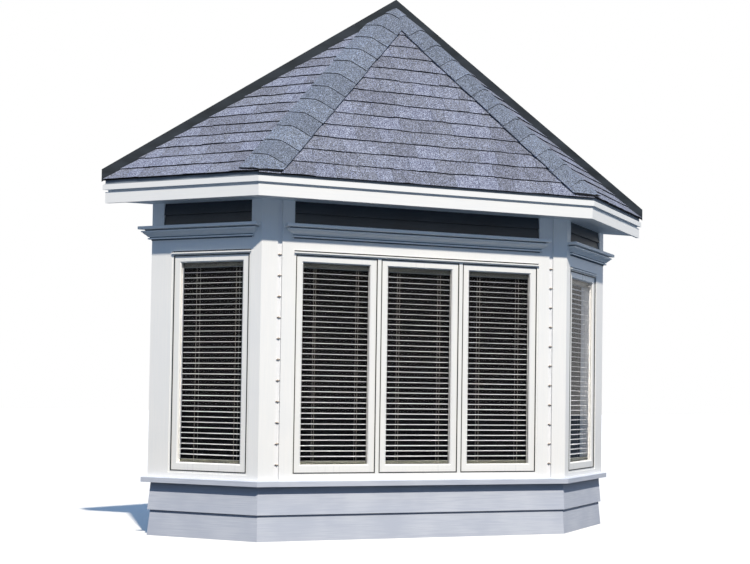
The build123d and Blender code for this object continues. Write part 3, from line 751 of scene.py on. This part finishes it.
def blindMeshes(here, seed):
    low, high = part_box("sash_front_right")
    half = blindHigh.x - (low.x + high.x) / 2
    back = blindHigh.y + depth
    face = back - blind["slatDepth"]
    top, foot = blindHigh.z, blindLow.z
    railFoot = top - blind["headRail"]
    sizes = {key: blind[key] for key in ("slatDepth", "thickness", "crown", "pitch", "unlevel")}
    sizes.update(width=2 * half, tilt=radians(blind["tilt"]), uneven=radians(blind["uneven"]), seed=seed,
                 count=int((railFoot - foot - blind["bottomRail"]) / blind["pitch"]),
                 top=railFoot - blind["pitch"] + blind["thickness"], finish=slatPaint)
    slats = treeMesh("blindSlats", slatRows, sizes)
    rails = blocks("rails", railPaint,
                   [((-half, face, railFoot), (half, back, top)),
                    ((-half, face, foot), (half, back, foot + blind["bottomRail"]))], blind["bevel"])
    tapes = []
    for share in blind["tapes"]:
        x = -half + share * 2 * half
        for y in (face - blind["tapeThickness"], back):
            tapes.append(((x - blind["tape"] / 2, y, foot + blind["tapeFoot"]),
                          (x + blind["tape"] / 2, y + blind["tapeThickness"], railFoot + blind["tapeHead"])))
    return [placed(slats, here @ Matrix.Translation((0, (face + back) / 2, 0))), placed(rails, here),
            placed(blocks("tapes", tapeWeave, tapes), here)]


for name, sides, replaced in (("blinds_three_lights", ("front",), "blinds_front"),
                              ("blinds_angled_lights", ("left", "right"), "blinds_sides")):
    meshes = [mesh for side, number, node, x in casements if side in sides
              for mesh in blindMeshes(onSide(side, x), blind["seed"] + number)]
    pieceFrom(name, meshes, "blind_slats", replaced)


# Track beside each front corner board, with the studs that take the storm panels
track = {"width": 0.034, "recess": 0.006, "lip": 0.004, "lipRise": 0.003, "joint": 0.002, "drop": 0.048,
         "backing": 0.014, "wall": 0.025, "tuck": 0.001, "studs": 11, "pitch": 0.1536, "foot": 0.112,
         "spin": 0.15, "seed": 9}
# A stud in mm: (distance from its middle, distance out of its seat) along each outline
stud = {"washer": [(0, 0), (7.5, 0), (7.5, 2), (5.5, 2), (0, 2)],
        "nut": [(0, 1), (5.5, 1), (5.5, 8), (3.41, 9), (3.3, 12), (1.925, 13.5), (0, 13.5)],
        "wing": [(4.8, 2), (12, 2.7), (16, 7.25), (13.6, 9), (8.8, 7.6), (4, 5.85)], "wingThickness": 4.5,
        "washerSides": 14, "nutSides": 12}


def lathe(shape, profile, segments):
    # profile is a list of (radius, distance along -Y)
    rings = []
    for radius, out in profile:
        turns = [2 * pi * i / segments for i in range(segments if radius else 1)]
        rings.append([shape.verts.new((radius * cos(turn), -out, radius * sin(turn))) for turn in turns])
    for one, two in zip(rings, rings[1:]):
        for i in range(segments):
            j = (i + 1) % segments
            corners = [one[i % len(one)], one[j % len(one)], two[j % len(two)], two[i % len(two)]]
            shape.faces.new(list(dict.fromkeys(corners)))


def studColumn(tree, values, shape):
    solve(tree, values, """
        first = xyz(0, 0, foot)
        step = xyz(0, 0, pitch)
        turn = xyz(0, random(-spin, spin, seed))
    """)
    return rowOf(tree, values, shape)


def stormTracks():
    low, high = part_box("storm_strips")
    bottom, top = low.z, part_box("hoods")[0].z - track["drop"]
    half = track["width"] / 2
    face, wall = track["recess"], track["wall"]
    seat = face + track["lipRise"]
    shape = bmesh.new()
    for part in ("washer", "nut"):
        lathe(shape, [(radius / 1000, out / 1000 - seat) for radius, out in stud[part]],
              stud[part + "Sides"])
    thick = stud["wingThickness"] / 2000
    for sign in (-1, 1):                            # the two wings of the nut, swept up and out
        prism(shape, *([(sign * x / 1000, seat - out / 1000, z) for x, out in stud["wing"]]
                       for z in (-thick, thick)))
    column = treeMesh("studColumn", studColumn,
                      {"count": track["studs"], "pitch": track["pitch"], "foot": bottom + track["foot"],
                       "spin": track["spin"], "seed": track["seed"], "finish": studMetal},
                      meshFrom(outward(shape), "stud"))
    parts = []
    for sign in (-1, 1):
        here = onSide("front", sign * (high.x - half))
        edge = half - track["joint"]                # open joint on the right
        web = (-half, seat, bottom), (edge, wall, top)
        lips = [((x, face, bottom), (x + track["lip"], seat + track["tuck"], top))
                for x in (-half, edge - track["lip"])]
        backing = (-half, track["backing"], top - track["tuck"]), (half, wall, high.z)
        parts += [placed(blocks("track", trackPaint, [web, backing] + lips), here), placed(column, here)]
    pieceFrom("storm_tracks", parts, "storm_strip", "storm_strips")


stormTracks()


# Folded metal under the shingles: a drip edge along the three eaves, a foot under the wall flashing
metal = {"drop": 0.012, "thickness": 0.0015, "hem": 0.006, "hemRise": 0.005, "hemLip": 0.0015}


def sideRun(side, section, gap):
    # Runs a closed (y, z) section along one side: mitred at the corner, cut short of the house wall
    half = halfFront if side == "front" else depth / sin(cant) / 2
    ends = []
    for sign in (-1, 1):
        atWall = side != "front" and (sign < 0) == (side == "left")
        slope = 1 / tan(cant) if atWall else tan(cant / 2)
        short = gap / sin(cant) if atWall else 0.0
        ends.append([(sign * (half - y * slope - short), y, z) for y, z in section])
    shape = bmesh.new()
    prism(shape, *ends)
    return outward(shape)


def roofMetal():
    eave = deckLow.y + depth                        # outer face of the eave board, in the side's own frame
    face = eave - metal["thickness"]
    hem = face - metal["hem"]
    foot = deckLow.z - metal["drop"]
    section = [(eave, foot), (eave, deckTop), (face, deckTop), (face, foot + metal["hemRise"]),
               (hem, foot + metal["hemLip"]), (hem, foot)]
    gap = roofBuild["wallGap"]
    parts = [placed(meshFrom(sideRun(side, section, gap), "dripEdge", eaveMetal), facets[side])
             for side in facets]
    low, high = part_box("wall_flashing")
    layer = roofBuild["layers"]
    shape = bmesh.new()
    for x in (-high.x, high.x):
        plan = [(x, low.z), (0, apex.z), (0, apex.z - layer), (x, low.z - layer)]
        prism(shape, *([(x, y, z) for x, z in plan] for y in (-gap, 0.0)))
    parts.append(meshFrom(outward(shape), "flashingFoot", wallMetal))
    pieceFrom("roof_metal", parts, "flashing")


roofMetal()


# Hood mouldings, run to one section in mm: bed bead, ogee, fillet and crown, with quirks that hold a shadow
# and a painted shade. Their ends return to the boards, but at the house the whole section runs into the wall
hood = {"section": [(0, 0), (4, 0), (4, 8), (22, 9), (23, 10), (23, 19), (22, 20), (14, 21), (14, 27)],
        "ogee": ((24, 28), (50, 60)), "steps": 10,
        "crown": [(57, 61), (58, 62), (58, 70), (57, 71), (38, 72), (38, 80), (73, 81), (75, 83),
                  (75, 102), (73, 104), (0, 104)], "height": 104.0, "wallGap": 0.001,
        "quirkShade": ((0, 9), (20.5, 27.5), (71.5, 80.5)), "quirkShadeReach": 40}


def hoodSection():
    (foot, low), (brow, high) = hood["ogee"]
    curve = []
    for i in range(hood["steps"] + 1):
        share = i / hood["steps"]
        curve.append((foot + (brow - foot) * share * share * (3 - 2 * share), low + (high - low) * share))
    return hood["section"] + curve + hood["crown"]


def hoodMouldings():
    low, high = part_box("hoods")
    scale = (high.z - low.z) / hood["height"]
    section = hoodSection()
    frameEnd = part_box("frame_front")[1].x
    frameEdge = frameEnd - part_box("sash_front_right")[1].x
    beyond = depth / sin(cant)                      # far enough to run into the wall
    parts = []
    for side, number, node, middle in casements:
        if number:                                  # one hood over the three lights in front
            continue
        nearby = sashHalf + frameEdge
        start, end = {"front": (-frameEnd, frameEnd), "left": (-beyond, middle + nearby),
                      "right": (middle - nearby, beyond)}[side]
        shape = bmesh.new()
        rings = []
        for out, z in section:
            y = out / 1000
            plan = ((start - y, 0.0), (start - y, -y), (end + y, -y), (end + y, 0.0))
            rings.append([shape.verts.new((x, y, low.z + z * scale)) for x, y in plan])
        for i in range(len(section) - 1):
            out, z = ((section[i][axis] + section[i + 1][axis]) / 2 for axis in (0, 1))
            # Faces deep in the quirks take the darker paint: painted shade where shade falls
            inQuirkShade = out < hood["quirkShadeReach"] and any(a < z < b for a, b in hood["quirkShade"])
            for j in range(3):
                face = shape.faces.new((rings[i][j], rings[i][j + 1], rings[i + 1][j + 1], rings[i + 1][j]))
                face.material_index = int(inQuirkShade)
        shape.faces.new([ring[0] for ring in rings] + [ring[3] for ring in reversed(rings)])
        bmesh.ops.remove_doubles(shape, verts=shape.verts[:], dist=1e-6)
        trim = trimFront if side == "front" else trimSides
        mesh = meshFrom(outward(shape), "hoodMoulding", trim, quirkShadePaint)
        mesh.transform(facets[side])
        if side != "front":
            cutMesh(mesh, [((0, -hood["wallGap"], 0), (0, 1, 0))])
        parts.append(mesh)
    pieceFrom("hood_mouldings", parts, "trim_paint", "hoods")


hoodMouldings()


# Dark rubber weather strips in the gap round each casement; their near-black also paints the shadow line of
# the gap
strip = {"gap": 0.004, "lap": 0.003, "front": 0.002, "frame": 0.004, "back": 0.016}


def weatherStrips():
    low, high, half = sashLow.z, sashHigh.z, sashHalf
    rims = []
    for out, front, back in ((strip["gap"] + strip["lap"], strip["front"], strip["frame"]),
                             (strip["gap"], strip["frame"], strip["back"])):
        rims += [((-half - out, front, low - out), (-half, back, high + out)),
                 ((half, front, low - out), (half + out, back, high + out)),
                 ((-half, front, low - out), (half, back, low)),
                 ((-half, front, high), (half, back, high + out))]
    rim = blocks("rims", stripRubber, rims)
    pieceFrom("weather_strips", [placed(rim, onSide(side, x)) for side, number, node, x in casements],
              "flashing")


weatherStrips()

# Floor, light and the dark room behind the glass. Distances from the bay are in metres
studio = {"floor": "#5F6D7C", "floorNear": "#101214", "near": (1.5, 3.5), "nearShape": (0.5, 1.0, 1.0),
          "floorSeen": ("#F2F1EE", "#ECEBE7"), "cloud": 900, "far": (6.0, 30.0), "backdrop": "#FFFFFF",
          "floorReach": 60, "sky": "#9CC8FF", "skyLevel": 0.66, "horizon": 0.04, "skyRise": 0.75,
          "sun": "#FFF5E5", "sunLevel": 4.4, "sunSoftness": 1.6, "sunFrom": (-0.07, -1.0, 1.22)}
# Cards just behind the blinds, seen only through the glass, stand for the unlit room
darkRoom = {"colour": "#070708", "half": 0.31, "back": 0.13, "below": 0.06, "above": 0.02}


def floorPaint():
    # Matt studio floor: paler to the camera than to the light it throws back
    material, tree, shader = materialTree("studioFloor", studio["floor"], 0.9,
                                          **{"Specular IOR Level": 0.1})
    seen = addNode(tree, "ShaderNodeLightPath").outputs["Is Camera Ray"]
    space = boardSpace(tree)
    cloud = mottle(tree, studio["cloud"], detail=2.0)
    paler, darker = studio["floorSeen"]
    tone = addNode(tree, "ShaderNodeMix", {"Factor": cloud, "A": paler, "B": darker}, data_type="RGBA")
    aside = addNode(tree, "ShaderNodeMapping", {"Vector": space, "Scale": studio["nearShape"]})
    fades = []
    for place, (start, end), easing in ((space, studio["far"], "SMOOTHSTEP"),
                                        (aside, studio["near"], "LINEAR")):
        away = addNode(tree, "ShaderNodeVectorMath", {0: place}, operation="LENGTH")
        fades.append(addNode(tree, "ShaderNodeMapRange", {"Value": away, "From Min": start, "From Max": end},
                             interpolation_type=easing))
    tone = addNode(tree, "ShaderNodeMix", {"Factor": fades[0], "A": tone, "B": studio["backdrop"]},
                   data_type="RGBA")
    bounce = addNode(tree, "ShaderNodeMix",
                     {"Factor": fades[1], "A": studio["floorNear"], "B": studio["floor"]}, data_type="RGBA")
    tone = addNode(tree, "ShaderNodeMix", {"Factor": seen, "A": bounce, "B": tone}, data_type="RGBA")
    surface(tree, shader, tone)
    return material


def stageSheet(name, corners, material):
    mesh = bpy.data.meshes.new(name)
    mesh.from_pydata(corners, [], [(0, 1, 2, 3)])
    mesh.materials.append(material)
    sheet = bpy.data.objects.new(name, mesh)
    scene.collection.objects.link(sheet)
    return sheet


floorReach = studio["floorReach"]
stageSheet("floor", [(x * floorReach, y * floorReach, 0) for x, y in ((-1, -1), (1, -1), (1, 1), (-1, 1))],
           floorPaint())
roomShade = materialTree("unlitRoom", darkRoom["colour"], 1.0)[0]
half, low, high = darkRoom["half"], blindLow.z - darkRoom["below"], blindHigh.z + darkRoom["above"]
for side, number, node, middle in casements:
    corners = [onSide(side, middle) @ Vector((x, darkRoom["back"], z))
               for x, z in ((-half, low), (-half, high), (half, high), (half, low))]
    card = stageSheet("dark_card_" + node, corners, roomShade)
    for ray in ("camera", "diffuse", "glossy", "shadow", "volume_scatter"):
        setattr(card, "visible_" + ray, False)

world = bpy.data.worlds.new("studio")
scene.world = world
world.use_nodes = True
sky = world.node_tree
sky.nodes.clear()
path = addNode(sky, "ShaderNodeLightPath").outputs
rays = {"camera": path["Is Camera Ray"], "glossy": path["Is Glossy Ray"],
        "through": path["Is Transmission Ray"],
        "way": addNode(sky, "ShaderNodeTexCoord").outputs["Generated"]}
shown = solve(sky, rays, "shown = max(max(camera, glossy), through)")
# The sky lamp is dim at the horizon and full overhead, as between trees
skyLevel = addNode(sky, "ShaderNodeMapRange",
                   {"Value": solve(sky, rays, "height = way.z"), "From Max": studio["skyRise"],
                    "To Min": studio["skyLevel"] * studio["horizon"], "To Max": studio["skyLevel"]})
soft = addNode(sky, "ShaderNodeBackground", {"Color": studio["sky"], "Strength": skyLevel})
plain = addNode(sky, "ShaderNodeBackground", {"Color": studio["backdrop"], "Strength": 1.0})
both = addNode(sky, "ShaderNodeMixShader", {0: shown, 1: soft, 2: plain})
addNode(sky, "ShaderNodeOutputWorld", {"Surface": both})

sunData = bpy.data.lights.new("softSun", "SUN")
sunData.energy = studio["sunLevel"]
sunData.angle = radians(studio["sunSoftness"])
sunData.color = linearColour(studio["sun"])[:3]
sun = bpy.data.objects.new("softSun", sunData)
sun.rotation_euler = Vector(studio["sunFrom"]).to_track_quat("Z", "Y").to_euler()
scene.collection.objects.link(sun)
print("floor, dark room, sky and sun")

# The photograph's viewpoint, angles in degrees
shot = {"place": (-3.4753, -9.2617, 1.0774), "yaw": 19.818, "pitch": 1.719, "roll": 0.843,
        "lens": 58.832, "sensor": 36.0, "shiftY": 0.1012, "clipEnd": 200}
cameraData = bpy.data.cameras.new("photoView")
cameraData.lens = shot["lens"]
cameraData.sensor_width = shot["sensor"]
cameraData.shift_y = shot["shiftY"]
cameraData.clip_end = shot["clipEnd"]
camera = bpy.data.objects.new("photoView", cameraData)
yaw, pitch, roll = (radians(shot[key]) for key in ("yaw", "pitch", "roll"))
camera.matrix_world = (Matrix.Translation(shot["place"]) @ Matrix.Rotation(-yaw, 4, "Z")
                       @ Matrix.Rotation(pi / 2 + pitch, 4, "X") @ Matrix.Rotation(roll, 4, "Z"))
scene.collection.objects.link(camera)
scene.camera = camera
print("camera at the photograph's angle")

scene.view_settings.view_transform = "Standard"
